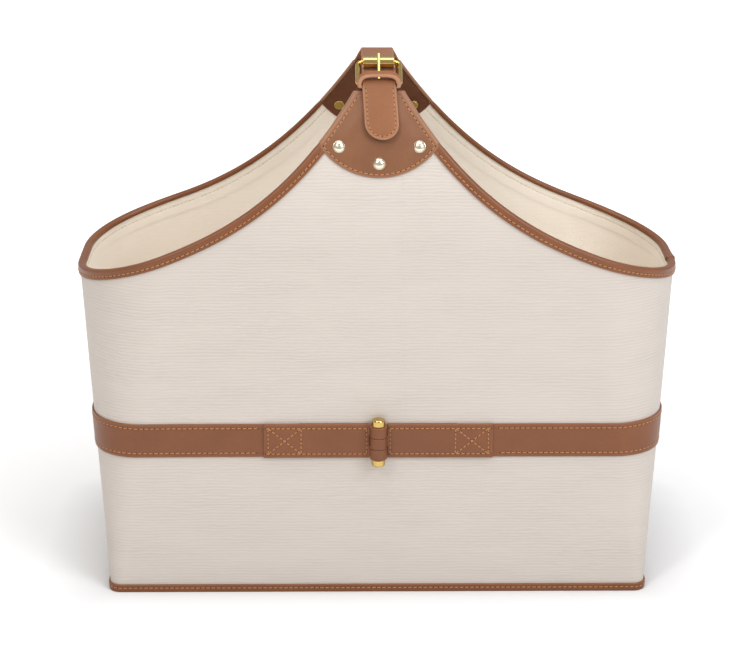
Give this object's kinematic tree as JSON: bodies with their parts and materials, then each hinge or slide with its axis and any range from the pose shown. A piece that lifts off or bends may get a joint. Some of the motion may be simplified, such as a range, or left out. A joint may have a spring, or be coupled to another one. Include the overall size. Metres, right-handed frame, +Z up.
{
  "type": "fabric storage bin",
  "caption": "Tapered canvas storage bin with leather trim, a belt closed by a barrel pin, and a buckled strap joining its two peaks over the open mouth.",
  "frame": {"origin": "middle of the footprint, on the surface that the bin stands on", "axes": "+Z up; -Y is the front, where the buckle and the belt's pin are; +X is the bin's long direction, to the right seen from the front"},
  "size_m": [0.4602, 0.1975, 0.4107],
  "materials": {
    "canvas": "ribbed cotton canvas, matte",
    "lining": "plain cotton, matte",
    "board": "grey fibreboard, hidden",
    "leather": "smooth tan leather, satin",
    "brass": "polished",
    "thread": "waxed tan thread"
  },
  "bodies": {
    "bin": {"front_board": "board", "back_board": "board", "front_canvas": "canvas", "back_canvas": "canvas", "front_lining": "lining", "back_lining": "lining", "base_board": "board", "base_cover": "canvas", "base_lining": "lining", "base_binding": "leather", "rim_binding_left": "leather", "rim_binding_front_right": "leather", "rim_binding_back_right": "leather", "front_patch_outer": "leather", "front_patch_inner": "leather", "back_patch_outer": "leather", "back_patch_inner": "leather", "rivets": "brass", "rivet_caps": "brass", "belt": "leather", "belt_tab_left": "leather", "belt_tab_right": "leather", "top_strap": "leather", "strap_keeper": "leather", "buckle_chape": "leather"},
    "frame": {"buckle_frame": "brass"},
    "roller": {"buckle_roller": "brass"},
    "prong": {"buckle_prong": "brass"},
    "tail": {"strap_tail": "leather"},
    "pin": {"belt_pin": "brass", "belt_pin_knob": "brass"}
  },
  "joints": [
    {"name": "frame_tilt", "type": "hinge", "parent": "bin", "child": "frame", "pos_m": [0, -0.05257, 0.3913], "axis": [1, 0, 0], "range_deg": [0, 12]},
    {"name": "roller_spin", "type": "hinge", "parent": "frame", "child": "roller", "pos_m": [0, -0.03236, 0.4033], "axis": [1, 0, 0], "continuous": true},
    {"name": "prong_swing", "type": "hinge", "parent": "frame", "child": "prong", "pos_m": [0, -0.05257, 0.3913], "axis": [1, 0, 0], "range_deg": [0, 30]},
    {"name": "tail_lift", "type": "hinge", "parent": "bin", "child": "tail", "pos_m": [0, -0.05655, 0.3936], "axis": [-1, 0, 0], "range_deg": [0, 60]},
    {"name": "pin_spin", "type": "hinge", "parent": "bin", "child": "pin", "pos_m": [0, -0.09692, 0.12501], "axis": [0, 0.0159, 0.9999], "continuous": true}
  ]
}
